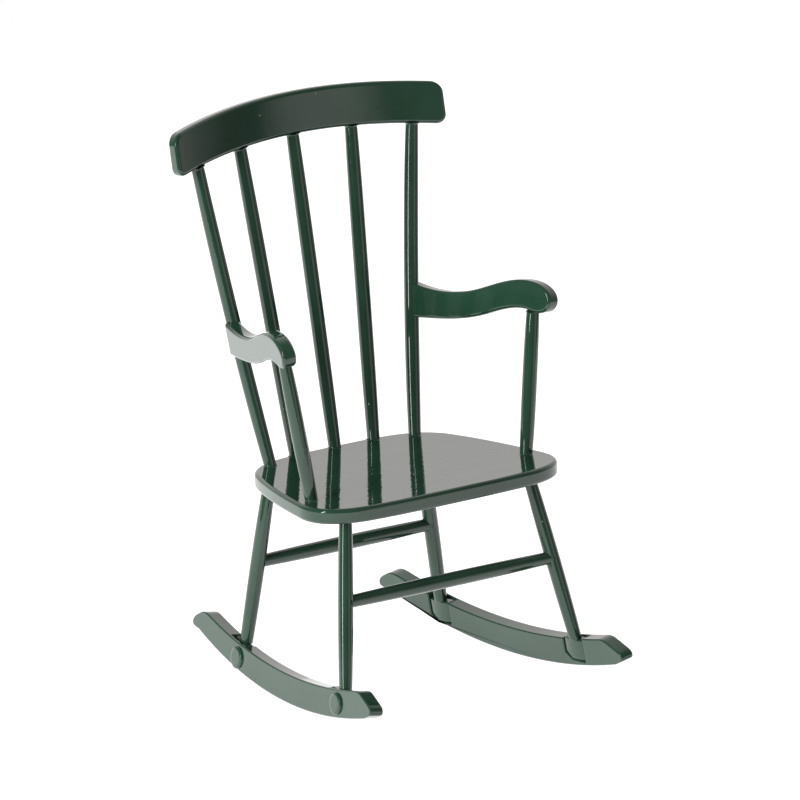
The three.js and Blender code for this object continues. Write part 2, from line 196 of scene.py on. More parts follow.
class ChairStudio(bpy.types.PropertyGroup):
    """Camera and lights."""
    azimuth: FloatProperty(
        name="Azimuth", description="Camera's place round the chair, from straight in front",
        default=radians(-33.741), subtype="ANGLE")
    elevation: FloatProperty(
        name="Elevation", description="Camera's height above the level, as an angle",
        default=radians(20.033), subtype="ANGLE")
    roll: FloatProperty(
        name="Roll", description="Camera's turn about its own axis",
        default=radians(-0.758), subtype="ANGLE")
    distance: FloatProperty(
        name="Distance", description="From the camera to the point it looks at",
        default=5.3336, min=0.1, unit="LENGTH")
    aim: FloatVectorProperty(
        name="Aim", description="The point the camera looks at", size=3,
        default=(2.03 * MM, -0.32 * MM, 69.15 * MM), subtype="TRANSLATION", unit="LENGTH")
    lens: FloatProperty(
        name="Lens", description="Focal length, in millimetres", default=1000.0, min=10)
    backdrop: FloatProperty(
        name="Backdrop", description="Brightness of the sweep behind the chair",
        default=0.85, min=0)
    side: FloatProperty(
        name="Side", description="Brightness of the soft reflector to the camera's right",
        default=0.75, min=0)
    dark: FloatProperty(
        name="Dark", description="Brightness of the unlit side of the studio",
        default=0.13, min=0)
    table: FloatProperty(
        name="Table", description="Brightness of the table lit from below", default=0.9, min=0)


# ---- measuring the frame --------------------------------------------------------------------
def level_points(node):
    """The corner points of a CAD node in the seat's frame, each of them once."""
    points = {}
    for vertex in frame["nodes"][node].data.vertices:
        point = TO_LEVEL @ vertex.co
        points[tuple(round(c, 7) for c in point)] = point
    return list(points.values())


def side_of(node):
    """The sign of x on the side of the chair that a node is named for."""
    return -1 if node.endswith("right") else 1


def peg_end(points, top, axis=2):
    """Centre of the round face at the upper or lower end of a stick's peg, along an axis."""
    ring = sorted(points, key=lambda p: p[axis], reverse=top)[:PEG_SIDES]
    return sum(ring, Vector()) / len(ring)


def stick_ends(node):
    """Where the axis of a standing stick meets the seat, and where it ends under its rail."""
    points = level_points(node)
    low, high = peg_end(points, False), peg_end(points, True)
    step = (high - low).normalized() * TENON * MM
    return low + step, high - step


def leg_axis(node, end):
    """Where a leg's axis meets the seat's underside, its point level with the stretcher, and
    its slope as a step for each step up."""
    side = side_of(node)
    head = peg_end(level_points(node), True)
    reach = peg_end(level_points(f"stretcher_{end}"), side > 0, axis=0)
    bar = Vector((reach.x + side * SHORT_PEG * MM, reach.y, reach.z))
    slope = (bar - head) / (bar.z - head.z)
    return head + slope * (-SEAT["thickness"] * MM - head.z), bar, slope


def plate_axes(node, through):
    """Axes of a leaning plate: x forwards along it, y up it and z inwards, from its mid-plane."""
    areas = {}
    mesh = frame["nodes"][node].data
    for face in mesh.polygons:
        key = tuple(round(c, 3) for c in face.normal)
        total, normal = areas.get(key, (0, face.normal))
        areas[key] = (total + face.area, normal)
    normal = TO_LEVEL.to_3x3() @ max(areas.values(), key=lambda a: a[0])[1]
    inward = -normal if normal.x * side_of(node) > 0 else normal.copy()
    along = Vector((0, 0, 1)).cross(inward).normalized()
    if along.y > 0:
        along.negate()
    rise = inward.cross(along) * (1 if inward.cross(along).z > 0 else -1)
    depths = [p.dot(inward) for p in level_points(node)]
    middle = (max(depths) + min(depths)) / 2
    _, y, z = through
    x = (middle - inward.y * y - inward.z * z) / inward.x
    axes = Matrix((along, rise, inward)).transposed().to_4x4()
    return Matrix.Translation((x, y, z)) @ axes


# ---- outlines -------------------------------------------------------------------------------
def chain(start, curves, steps=14):
    """Points along a chain of Bezier curves, each given as two handles and an end, without
    the first point."""
    points = []
    at = Vector(start)
    for ax, ay, bx, by, ex, ey in curves:
        end = Vector((ex, ey))
        points += interpolate_bezier(at, Vector((ax, ay)), Vector((bx, by)), end, steps + 1)[1:]
        at = end
    return [p.xy for p in points]


def corner(start, bend, end, steps=8):
    """Points along a soft corner, without its first point."""
    a, b, c = Vector(start), Vector(bend), Vector(end)
    return [a.lerp(b, t / steps).lerp(b.lerp(c, t / steps), t / steps) for t in range(1, steps + 1)]


def seat_outline():
    """The seat from above: a broad front that narrows to a gently curved back."""
    back, front = BACK_EDGE / MM, SEAT["front"]
    b, f = SEAT["back_half"], SEAT["front_half"]
    left = chain((0, back), [
        (15, back, 24, back - 0.6, b - 0.8, -7.5),
        (b + 2.2, -15, f - 1.4, -28, f, -38),
        (f + 1.2, -46.5, f - 5, front + 1.2, 22, front + 0.6),
        (15, front, 8, front, 0, front),
    ], steps=24)
    right = [Vector((-p.x, p.y)) for p in reversed(left[:-1])]
    return left + right + [Vector((0, back))]


def arm_outline():
    """The side of an arm: a long shallow S that rises to a rounded scroll over its post."""
    start = (ARM_BACK, -6.4)
    return [Vector(start)] + chain(start, [
        (-29, -5.6, -22, -5.2, -14, -2.3),
        (-8.5, -0.2, -4, 1.2, 0, 0.35),
        (2.4, -0.2, 5.0, 0.2, 6.0, 2.1),
        (7.2, 4.4, 5.0, 7.7, -1.5, 7.7),
        (-8.5, 7.7, -15, 3.7, -21, 2.4),
        (-27, 1.1, -33, 0.9, ARM_BACK, 2.2),
    ])


def sole_points(axes):
    """The rolling edge of a rocker, on its inner face, from the nose to the tail."""
    y, z = SOLE["centre"]
    inner = axes.inverted()
    face = axes @ Vector((0, 0, 0.5 * PLATE * MM))
    normal = axes.to_3x3().col[2]
    points = []
    for i in range(SOLE["steps"] + 1):
        share = i / SOLE["steps"]
        angle = -degrees(LEAN) + SOLE["nose"] + (SOLE["rear"] - SOLE["nose"]) * share
        py = (y - SOLE["radius"] * sin(radians(angle))) * MM
        pz = (z - SOLE["radius"] * cos(radians(angle))) * MM
        px = (face.dot(normal) - normal.y * py - normal.z * pz) / normal.x
        points.append((inner @ Vector((px, py, pz))).xy / MM)
    return points


def rocker_top():
    """The long hollow arc along the top of a rocker, from the front to the rear."""
    s, w = ROCKER_TOP["centre"]
    rear, front = ROCKER_TOP["rear"], ROCKER_TOP["front"]
    count = ceil((front - rear) / ROCKER_TOP["step"])
    along = [front + (rear - front) * i / count for i in range(count + 1)]
    return [Vector((x, w - sqrt(ROCKER_TOP["radius"] ** 2 - (x - s) ** 2))) for x in along]


def rocker_outline(axes):
    """The side of a rocker: its long arcs, a soft hump at the tail and a bevelled nose."""
    nose, tail = ROCKER_NOSE, ROCKER_TAIL
    rear = tail["tip"][0] + SOLE["tail_clear"]
    front = nose["tip"][0] - SOLE["nose_clear"]
    sole = [p for p in sole_points(axes) if rear < p.x < front]
    top = rocker_top()
    points = [Vector(nose["tip"])]
    points += corner(nose["tip"], nose["bend"], nose["brow"])
    points += [Vector(nose["bevel"])]
    points += corner(nose["bevel"], nose["ease"], top[0])
    points += top[1:]
    points += chain(top[-1], [(-16.8, 3.8, -18.2, 3.7, *tail["hump"])], steps=10)
    points += corner(tail["hump"], tail["bend"], tail["tip"])
    points += corner(tail["tip"], tail["ease"], sole[-1], steps=5)
    points += list(reversed(sole[:-1]))
    return points


def crest_section(s, inset=0.0):
    """Lower and upper edge of the crest rail at a distance from its middle, in millimetres, or of
    the same outline drawn in by an inset."""
    straight = CREST["half_length"] - CREST["corner"]
    share = (s / straight) ** 2
    low, high = -CREST["arch"] * share, CREST["height"] - CREST["drop"] * share
    radius = CREST["corner"] - inset
    past = min(max(abs(s) - straight, 0) / radius, 1)
    turn = inset + radius * (1 - sqrt(1 - past ** 2))
    return low + turn, high - turn


def crest_stations(inset):
    """Distances from the middle of the crest rail, closer together round its corners."""
    straight = CREST["half_length"] - CREST["corner"]
    radius = CREST["corner"] - inset
    count = 56
    flat = [straight * (2 * i / count - 1) for i in range(count + 1)]
    turns = 9
    bend = [straight + radius * sin(pi / 2 * i / turns) for i in range(1, turns + 1)]
    return [-b for b in reversed(bend)] + flat + bend


def crest_axes():
    """Axes of the crest rail, leaning back, with its lower edge's middle at the start."""
    y, z = CREST["middle"]
    return Matrix.Translation((0, y * MM, z * MM)) @ Matrix.Rotation(-radians(CREST["lean"]), 4, "X")


def crest_point(s, w, depth):
    """A point of the rail in the seat's frame: s along, w up, and depth in metres forwards."""
    arc = CREST["radius"] - depth / MM
    fore = sqrt(arc ** 2 - s ** 2) - CREST["radius"]
    return crest_axes() @ (Vector((s, fore, w)) * MM)


# ---- shapes ---------------------------------------------------------------------------------
def new_object(name, mesh):
    """Links a mesh as a new object at the origin."""
    piece = bpy.data.objects.new(name, mesh)
    bpy.context.scene.collection.objects.link(piece)
    return piece


def from_bmesh(name, shape):
    """Turns a bmesh into an object, with its faces outwards and smooth."""
    bmesh.ops.recalc_face_normals(shape, faces=shape.faces[:])
    for face in shape.faces:
        face.smooth = True
    mesh = bpy.data.meshes.new(name)
    shape.to_mesh(mesh)
    shape.free()
    return new_object(name, mesh)


def prism(name, outline, axes, low, high):
    """A block of a given outline, in millimetres, between two depths, in metres."""
    shape = bmesh.new()
    place = LEVEL @ axes
    ends = []
    for depth in (low, high):
        ring = [shape.verts.new(place @ Vector((p.x * MM, p.y * MM, depth))) for p in outline]
        ends.append(ring)
        shape.faces.new(ring if depth == high else ring[::-1])
    for i in range(len(outline)):
        j = (i + 1) % len(outline)
        shape.faces.new((ends[0][i], ends[0][j], ends[1][j], ends[1][i]))
    return from_bmesh(name, shape)


def cut(piece, tools):
    """Cuts the tools out of a piece and removes them."""
    for tool in tools:
        modifier = piece.modifiers.new("Cut", "BOOLEAN")
        modifier.operation = "DIFFERENCE"
        modifier.solver = "EXACT"
        modifier.object = tool
    bake(piece)
    for tool in tools:
        bpy.data.objects.remove(tool)


def soften(piece, radius, segments):
    """Rounds the sharp edges of a piece."""
    modifier = piece.modifiers.new("Edges", "BEVEL")
    modifier.width = radius
    modifier.segments = segments
    modifier.limit_method = "ANGLE"
    modifier.angle_limit = radians(SHARP)
    modifier.harden_normals = True
    bake(piece)


def bake(piece):
    """Turns a piece and its modifiers into one plain mesh."""
    graph = bpy.context.evaluated_depsgraph_get()
    mesh = bpy.data.meshes.new_from_object(
        piece.evaluated_get(graph), preserve_all_data_layers=True, depsgraph=graph)
    mesh.name = piece.name
    piece.modifiers.clear()
    piece.data = mesh


def hand_over(piece, *nodes):
    """Gives a finished piece its enamel, its body and the CAD nodes it stands for."""
    piece.data.materials.clear()
    piece.data.materials.append(gloss_enamel())
    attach(piece, "root")
    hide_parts(*nodes)


# ---- node trees -----------------------------------------------------------------------------
def add_node(tree, kind, inputs=None, **settings):
    """Adds one node. Each input takes a value, or the socket that feeds it."""
    node = tree.nodes.new(kind)
    for name, value in settings.items():
        setattr(node, name, value)
    for key, value in (inputs or {}).items():
        if isinstance(value, bpy.types.NodeSocket):
            tree.links.new(value, node.inputs[key])
        else:
            node.inputs[key].default_value = value
    return node


def new_tree(name, sockets):
    """A geometry tree with one geometry output and the named inputs."""
    tree = bpy.data.node_groups.new(name, "GeometryNodeTree")
    for label, kind in sockets:
        tree.interface.new_socket(label, in_out="INPUT", socket_type=kind)
    tree.interface.new_socket("Geometry", in_out="OUTPUT", socket_type="NodeSocketGeometry")
    return tree, tree.nodes.new("NodeGroupInput").outputs


def close_tree(tree, geometry, material):
    """Ends a tree: real geometry, smooth and painted."""
    smooth = add_node(tree, "GeometryNodeSetShadeSmooth", {"Geometry": geometry})
    real = add_node(tree, "GeometryNodeRealizeInstances", {"Geometry": smooth.outputs[0]})
    paint = add_node(tree, "GeometryNodeSetMaterial", {
        "Geometry": real.outputs[0], "Material": material})
    end = tree.nodes.new("NodeGroupOutput")
    tree.links.new(paint.outputs[0], end.inputs[0])


def turning_tree():
    """Turned stick. It stands on z = 0, is fuller in the middle, and ends at each joint in a
    fillet of paint, or in a rounded edge where the fillet is negative. Its rings stay level as
    it leans, so that they meet a level seat, and its last rings tip to meet a sloping rail."""
    tree, given = new_tree("Turned stick", [
        ("Length", "NodeSocketFloat"), ("Foot Radius", "NodeSocketFloat"),
        ("Middle Radius", "NodeSocketFloat"), ("Head Radius", "NodeSocketFloat"),
        ("Fullness", "NodeSocketFloat"), ("Foot Fillet", "NodeSocketFloat"),
        ("Head Fillet", "NodeSocketFloat"), ("Lean", "NodeSocketVector"),
        ("Bow", "NodeSocketVector"), ("Head Slope", "NodeSocketVector"),
        ("Sides", "NodeSocketInt"), ("Rings", "NodeSocketInt"),
        ("Material", "NodeSocketMaterial"),
    ])
    length = given["Length"]
    top = add_node(tree, "ShaderNodeCombineXYZ", {"Z": length})
    line = add_node(tree, "GeometryNodeCurvePrimitiveLine", {"End": top.outputs[0]})
    rings = add_node(tree, "GeometryNodeResampleCurve", {
        "Curve": line.outputs[0], "Count": given["Rings"]})
    even = add_node(tree, "GeometryNodeSplineParameter")
    crowded = add_node(tree, "ShaderNodeMapRange", {
        "Value": even.outputs["Factor"], "To Max": length}, interpolation_type="SMOOTHSTEP")
    height = add_node(tree, "ShaderNodeCombineXYZ", {"Z": crowded.outputs[0]})
    spaced = add_node(tree, "GeometryNodeSetPosition", {
        "Geometry": rings.outputs[0], "Position": height.outputs[0]})

    # radius: full in the middle, falling to the ends as a power of the distance from the middle
    along = add_node(tree, "GeometryNodeSplineParameter").outputs["Factor"]
    signed = add_node(tree, "ShaderNodeMath", {0: along, 1: 2.0, 2: -1.0}, operation="MULTIPLY_ADD")
    away = add_node(tree, "ShaderNodeMath", {0: signed.outputs[0]}, operation="ABSOLUTE")
    fall = add_node(tree, "ShaderNodeMath", {
        0: away.outputs[0], 1: given["Fullness"]}, operation="POWER")
    end = add_node(tree, "ShaderNodeMapRange", {
        "Value": along, "To Min": given["Foot Radius"], "To Max": given["Head Radius"]})
    body = add_node(tree, "ShaderNodeMapRange", {
        "Value": fall.outputs[0], "To Min": given["Middle Radius"], "To Max": end.outputs[0]})
    radius = body.outputs[0]
    rest = add_node(tree, "ShaderNodeMath", {0: 1.0, 1: along}, operation="SUBTRACT").outputs[0]
    for share, fillet in ((along, given["Foot Fillet"]), (rest, given["Head Fillet"])):
        size = add_node(tree, "ShaderNodeMath", {0: fillet}, operation="ABSOLUTE")
        gap = add_node(tree, "ShaderNodeMath", {0: share, 1: length}, operation="MULTIPLY")
        near = add_node(tree, "ShaderNodeMapRange", {
            "Value": gap.outputs[0], "From Max": size.outputs[0], "To Min": 1.0, "To Max": 0.0})
        square = add_node(tree, "ShaderNodeMath", {
            0: near.outputs[0], 1: near.outputs[0]}, operation="MULTIPLY")
        left = add_node(tree, "ShaderNodeMath", {0: 1.0, 1: square.outputs[0]}, operation="SUBTRACT")
        root = add_node(tree, "ShaderNodeMath", {0: left.outputs[0]}, operation="SQRT")
        flare = add_node(tree, "ShaderNodeMath", {0: 1.0, 1: root.outputs[0]}, operation="SUBTRACT")
        wider = add_node(tree, "ShaderNodeMath", {
            0: flare.outputs[0], 1: fillet, 2: radius}, operation="MULTIPLY_ADD")
        radius = wider.outputs[0]
    circle = add_node(tree, "GeometryNodeCurvePrimitiveCircle", {
        "Resolution": given["Sides"], "Radius": 1.0})
    skin = add_node(tree, "GeometryNodeCurveToMesh", {
        "Curve": spaced.outputs[0], "Profile Curve": circle.outputs[0], "Scale": radius,
        "Fill Caps": True})

    # lean, bow and the tipped rings under the rail
    place = add_node(tree, "GeometryNodeInputPosition").outputs[0]
    parts = add_node(tree, "ShaderNodeSeparateXYZ", {"Vector": place})
    share = add_node(tree, "ShaderNodeMath", {
        0: parts.outputs["Z"], 1: length}, operation="DIVIDE").outputs[0]
    leaning = add_node(tree, "ShaderNodeVectorMath", {
        0: given["Lean"], "Scale": share}, operation="SCALE")
    short = add_node(tree, "ShaderNodeMath", {0: 1.0, 1: share}, operation="SUBTRACT")
    hump = add_node(tree, "ShaderNodeMath", {0: share, 1: short.outputs[0]}, operation="MULTIPLY")
    four = add_node(tree, "ShaderNodeMath", {0: hump.outputs[0], 1: 4.0}, operation="MULTIPLY")
    bowed = add_node(tree, "ShaderNodeVectorMath", {
        0: given["Bow"], "Scale": four.outputs[0]}, operation="SCALE")
    tip = add_node(tree, "ShaderNodeVectorMath", {
        0: given["Head Slope"], 1: place}, operation="DOT_PRODUCT")
    last_tenth = 0.9
    late = add_node(tree, "ShaderNodeMapRange", {
        "Value": share, "From Min": last_tenth, "From Max": 1.0}, interpolation_type="SMOOTHSTEP")
    raised = add_node(tree, "ShaderNodeMath", {
        0: tip.outputs["Value"], 1: late.outputs[0]}, operation="MULTIPLY")
    lift = add_node(tree, "ShaderNodeCombineXYZ", {"Z": raised.outputs[0]})
    bent = add_node(tree, "ShaderNodeVectorMath", {
        0: leaning.outputs[0], 1: bowed.outputs[0]}, operation="ADD")
    total = add_node(tree, "ShaderNodeVectorMath", {
        0: bent.outputs[0], 1: lift.outputs[0]}, operation="ADD")
    leant = add_node(tree, "GeometryNodeSetPosition", {
        "Geometry": skin.outputs[0], "Offset": total.outputs[0]})
    close_tree(tree, leant.outputs[0], given["Material"])
    return tree


def rivet_tree():
    """Rivet heads. A flat head with a low rim and a rounded edge stands on each point of the
    base mesh, turned to its facing, with half of the rim sunk in."""
    tree, given = new_tree("Rivet heads", [
        ("Geometry", "NodeSocketGeometry"), ("Radius", "NodeSocketFloat"),
        ("Height", "NodeSocketFloat"), ("Sides", "NodeSocketInt"),
        ("Material", "NodeSocketMaterial"),
    ])
    disc = add_node(tree, "GeometryNodeMeshCylinder", {
        "Vertices": given["Sides"], "Side Segments": 1, "Fill Segments": RIVET["circles"],
        "Radius": given["Radius"], "Depth": RIVET["rim"] * MM}, fill_type="TRIANGLE_FAN")
    place = add_node(tree, "GeometryNodeInputPosition").outputs[0]
    parts = add_node(tree, "ShaderNodeSeparateXYZ", {"Vector": place})
    flat = add_node(tree, "ShaderNodeCombineXYZ", {"X": parts.outputs["X"], "Y": parts.outputs["Y"]})
    reach = add_node(tree, "ShaderNodeVectorMath", {0: flat.outputs[0]}, operation="LENGTH")
    share = add_node(tree, "ShaderNodeMath", {
        0: reach.outputs["Value"], 1: given["Radius"]}, operation="DIVIDE")
    fall = add_node(tree, "ShaderNodeMath", {
        0: share.outputs[0], 1: RIVET["flatness"]}, operation="POWER")
    keep = add_node(tree, "ShaderNodeMath", {0: 1.0, 1: fall.outputs[0]}, operation="SUBTRACT")
    sure = add_node(tree, "ShaderNodeMath", {0: keep.outputs[0], 1: 0.0}, operation="MAXIMUM")
    dome = add_node(tree, "ShaderNodeMath", {
        0: sure.outputs[0], 1: RIVET["roundness"]}, operation="POWER")
    rise = add_node(tree, "ShaderNodeMath", {
        0: dome.outputs[0], 1: given["Height"]}, operation="MULTIPLY")
    upper = add_node(tree, "FunctionNodeCompare", {
        0: parts.outputs["Z"], 1: 0.0}, operation="GREATER_THAN", data_type="FLOAT")
    lift = add_node(tree, "ShaderNodeCombineXYZ", {"Z": rise.outputs[0]})
    head = add_node(tree, "GeometryNodeSetPosition", {
        "Geometry": disc.outputs["Mesh"], "Selection": upper.outputs[0], "Offset": lift.outputs[0]})
    facing = add_node(tree, "GeometryNodeInputNamedAttribute", {"Name": "facing"},
                      data_type="FLOAT_VECTOR")
    turn = add_node(tree, "FunctionNodeAlignRotationToVector", {
        "Vector": facing.outputs["Attribute"]}, axis="Z")
    heads = add_node(tree, "GeometryNodeInstanceOnPoints", {
        "Points": given["Geometry"], "Instance": head.outputs[0], "Rotation": turn.outputs[0]})
    close_tree(tree, heads.outputs[0], given["Material"])
    return tree


def tree_named(name, build):
    """The node tree of that name, built the first time it is asked for."""
    return bpy.data.node_groups.get(name) or build()


def grow(piece, tree, values):
    """Runs a node tree on a piece and bakes the result."""
    modifier = piece.modifiers.new("Shape", "NODES")
    modifier.node_group = tree
    for socket in tree.interface.items_tree:
        if socket.name in values:
            modifier[socket.identifier] = values[socket.name]
    bake(piece)


def turn_stick(name, foot, head, sizes, place=LEVEL, slope=(0, 0, 0), bow=0.0):
    """A turned piece between two points of the seat's frame, or of the frame given."""
    shape = bpy.context.scene.chair_shape
    piece = new_object(name, bpy.data.meshes.new(name))
    fillets = sizes.get("fillets", (shape.fillet, shape.fillet))
    grow(piece, tree_named("Turned stick", turning_tree), {
        "Length": head.z - foot.z, "Foot Radius": sizes["end"] / 2,
        "Middle Radius": sizes["middle"] / 2, "Head Radius": sizes["end"] / 2,
        "Fullness": sizes["fullness"], "Foot Fillet": fillets[0],
        "Head Fillet": fillets[1], "Lean": (head.x - foot.x, head.y - foot.y, 0),
        "Bow": (0, bow, 0), "Head Slope": slope, "Sides": shape.sides, "Rings": shape.rings,
        "Material": gloss_enamel(),
    })
    piece.data.transform(place @ Matrix.Translation(foot))
    return piece


# ---- materials ------------------------------------------------------------------------------
def new_material(name):
    """A new node material, its tree and the shader that it ends in."""
    material = bpy.data.materials.new(name)
    material.use_nodes = True
    tree = material.node_tree
    return material, tree, tree.nodes["Principled BSDF"]


def gloss_enamel():
    """Stove enamel on die-cast zinc, sprayed on in thick coats and baked: a deep bottle green
    under a hard glaze that mirrors its surroundings, with a faint orange peel, slow swells
    where the paint ran, and a few specks of dust caught in it."""
    name = "gloss_stove_enamel"
    if name in bpy.data.materials:
        return bpy.data.materials[name]
    finish = bpy.context.scene.chair_finish
    material, tree, shader = new_material(name)
    # widths of the pattern's features in millimetres, and how far they stand up or sink
    peel_mm, swell_mm, mottle_mm, speck_mm = 1.3, 7.0, 11.0, 3.4
    peel_height, swell_height, speck_height = 0.012 * MM, 0.02 * MM, 0.02 * MM
    one_in_four, speck_roughness = 0.25, 0.5
    place = add_node(tree, "ShaderNodeTexCoord").outputs["Object"]
    peel = add_node(tree, "ShaderNodeTexNoise", {
        "Vector": place, "Scale": 1 / (peel_mm * MM), "Detail": 1.5, "Roughness": 0.45})
    swell = add_node(tree, "ShaderNodeTexNoise", {
        "Vector": place, "Scale": 1 / (swell_mm * MM), "Detail": 1.0, "Roughness": 0.4})
    mottle = add_node(tree, "ShaderNodeTexNoise", {
        "Vector": place, "Scale": 1 / (mottle_mm * MM), "Detail": 3.0, "Roughness": 0.5})
    speck = add_node(tree, "ShaderNodeTexVoronoi", {
        "Vector": place, "Scale": 1 / (speck_mm * MM), "Randomness": 1.0})

    # specks: a small dot at the heart of one cell in four
    dot = add_node(tree, "ShaderNodeMapRange", {
        "Value": speck.outputs["Distance"], "From Min": 0.035, "From Max": 0.065,
        "To Min": 1.0, "To Max": 0.0})
    chance = add_node(tree, "ShaderNodeSeparateColor", {"Color": speck.outputs["Color"]})
    chosen = add_node(tree, "ShaderNodeMath", {
        0: chance.outputs["Red"], 1: one_in_four}, operation="LESS_THAN")
    specks = add_node(tree, "ShaderNodeMath", {
        0: dot.outputs[0], 1: chosen.outputs[0]}, operation="MULTIPLY").outputs[0]

    thin = add_node(tree, "ShaderNodeMapRange", {
        "Value": mottle.outputs["Fac"], "From Min": 0.35, "From Max": 0.75, "To Max": 0.5})
    coat = add_node(tree, "ShaderNodeMix", {
        "Factor": thin.outputs[0], 6: (*finish.enamel, 1), 7: (*finish.thin, 1)}, data_type="RGBA")
    dusted = add_node(tree, "ShaderNodeMix", {
        "Factor": specks, 6: coat.outputs[2], 7: (*finish.dust, 1)}, data_type="RGBA")
    rough = add_node(tree, "ShaderNodeMapRange", {
        "Value": specks, "To Min": finish.gloss, "To Max": speck_roughness})

    swells = add_node(tree, "ShaderNodeBump", {
        "Height": swell.outputs["Fac"], "Strength": 1.0, "Distance": swell_height})
    peeled = add_node(tree, "ShaderNodeBump", {
        "Height": peel.outputs["Fac"], "Strength": 1.0, "Distance": peel_height,
        "Normal": swells.outputs[0]})
    bumped = add_node(tree, "ShaderNodeBump", {
        "Height": specks, "Strength": 1.0, "Distance": speck_height,
        "Normal": peeled.outputs[0]})
    tree.links.new(dusted.outputs[2], shader.inputs["Base Color"])
    tree.links.new(rough.outputs[0], shader.inputs["Roughness"])
    tree.links.new(bumped.outputs[0], shader.inputs["Normal"])
    tree.links.new(bumped.outputs[0], shader.inputs["Coat Normal"])
    shader.inputs["IOR"].default_value = 1.5
    shader.inputs["Coat Weight"].default_value = 0.4
    shader.inputs["Coat Roughness"].default_value = 0.02
    shader.inputs["Coat IOR"].default_value = 1.5
    return material


def shooting_table():
    """White translucent acrylic of a shooting table, lit from below so that shadows fade out."""
    material, _, shader = new_material("lit_white_acrylic")
    shader.inputs["Base Color"].default_value = (*linear("#a8a8a8"), 1)
    shader.inputs["Roughness"].default_value = 0.9
    shader.inputs["Specular IOR Level"].default_value = 0.1
    shader.inputs["Emission Color"].default_value = (1, 1, 1, 1)
    shader.inputs["Emission Strength"].default_value = bpy.context.scene.chair_studio.table
    return material


# ---- operators ------------------------------------------------------------------------------
class CHAIR_OT_seat(bpy.types.Operator):
    """Build the seat plate"""
    bl_idname = "chair.seat"
    bl_label = "Seat"

    def execute(self, context):
        shape = context.scene.chair_shape
        piece = prism("seat_plate", seat_outline(), Matrix(), -SEAT["thickness"] * MM, 0)
        soften(piece, shape.seat_edge, segments=6)
        hand_over(piece, "seat")
        return {"FINISHED"}


class CHAIR_OT_crest(bpy.types.Operator):
    """Build the curved crest rail"""
    bl_idname = "chair.crest"
    bl_label = "Crest rail"

    def execute(self, context):
        settings = context.scene.chair_shape
        half, radius = settings.plate / 2, settings.crest_edge
        turns = 8
        angles = [pi / 2 * i / turns for i in range(turns + 1)]
        levels = [(radius * (1 - sin(a)), half - radius * (1 - cos(a))) for a in angles]
        levels += [(inset, -depth) for inset, depth in reversed(levels)]
        shape = bmesh.new()
        rings = [self.ring(shape, inset / MM, depth) for inset, depth in levels]
        for here, there in zip(rings, rings[1:]):
            for i in range(len(here)):
                j = (i + 1) % len(here)
                shape.faces.new((here[i], here[j], there[j], there[i]))
        for ring in (rings[0], rings[-1]):
            for i in range(len(ring) // 2 - 1):
                shape.faces.new((ring[i], ring[i + 1], ring[-i - 2], ring[-i - 1]))
        piece = from_bmesh("crest_rail_board", shape)
        modifier = piece.modifiers.new("Flat faces", "WEIGHTED_NORMAL")
        modifier.weight = 100
        bake(piece)
        hand_over(piece, "crest_rail")
        return {"FINISHED"}

    def ring(self, shape, inset, depth):
        """Corner points round the rail: along its upper edge, and back along its lower one."""
        upper, lower = [], []
        for s in crest_stations(inset):
            low, high = crest_section(s, inset)
            upper.append(shape.verts.new(LEVEL @ crest_point(s, high, depth)))
            lower.append(shape.verts.new(LEVEL @ crest_point(s, low, depth)))
        return upper + lower[::-1]


class CHAIR_OT_sticks(bpy.types.Operator):
    """Turn the spindles and posts of the back and the posts of the arms"""
    bl_idname = "chair.sticks"
    bl_label = "Sticks"

    def execute(self, context):
        shape = context.scene.chair_shape
        back = {"end": shape.stick_end, "middle": shape.stick_middle,
                "fullness": BACK_STICK["fullness"]}
        post = {"end": shape.stick_end + ARM_POST["end_more"] * MM,
                "middle": shape.stick_middle + ARM_POST["middle_more"] * MM,
                "fullness": ARM_POST["fullness"],
                "fillets": (shape.fillet, ARM_POST["head_fillet"] * MM)}
        for node in ("back_spindle_centre", "back_spindle_left", "back_spindle_right"):
            self.stand(node, back)
        for node in ("back_post_left", "back_post_right"):
            self.stand(node, back, bow=BACK_STICK["bow"] * MM)
        for node in ("arm_post_left", "arm_post_right"):
            foot, head = stick_ends(node)
            outward, back_rise = ARM_POST["slope"]
            foot.z = -SINK * MM
            head.z += ARM_POST["into_arm"] * MM
            piece = turn_stick(f"{node}_turning", foot, head, post,
                               slope=(outward * side_of(node), back_rise, 0))
            hand_over(piece, node)
        return {"FINISHED"}

    def stand(self, node, sizes, bow=0.0):
        """A stick from the seat to the underside of the crest rail."""
        foot, head = stick_ends(node)
        foot.z = -SINK * MM
        straight = CREST["half_length"] - CREST["corner"]
        s = head.x / MM
        rail = crest_point(s, crest_section(s)[0], 0)
        rise = -2 * CREST["arch"] * s / straight ** 2
        slope = (rise, -sin(radians(CREST["lean"])), 0)
        head.z = rail.z + slope[1] * (head.y - rail.y) + SINK * MM
        hand_over(turn_stick(f"{node}_turning", foot, head, sizes, slope=slope, bow=bow), node)


class CHAIR_OT_arms(bpy.types.Operator):
    """Build the scrolled arms"""
    bl_idname = "chair.arms"
    bl_label = "Arms"

    def execute(self, context):
        shape = context.scene.chair_shape
        for side in ("left", "right"):
            node = f"arm_{side}"
            axes = plate_axes(node, stick_ends(f"arm_post_{side}")[1])
            piece = prism(f"{node}_plate", arm_outline(), axes, -shape.plate / 2, shape.plate / 2)
            soften(piece, shape.edge, segments=5)
            hand_over(piece, node)
        return {"FINISHED"}


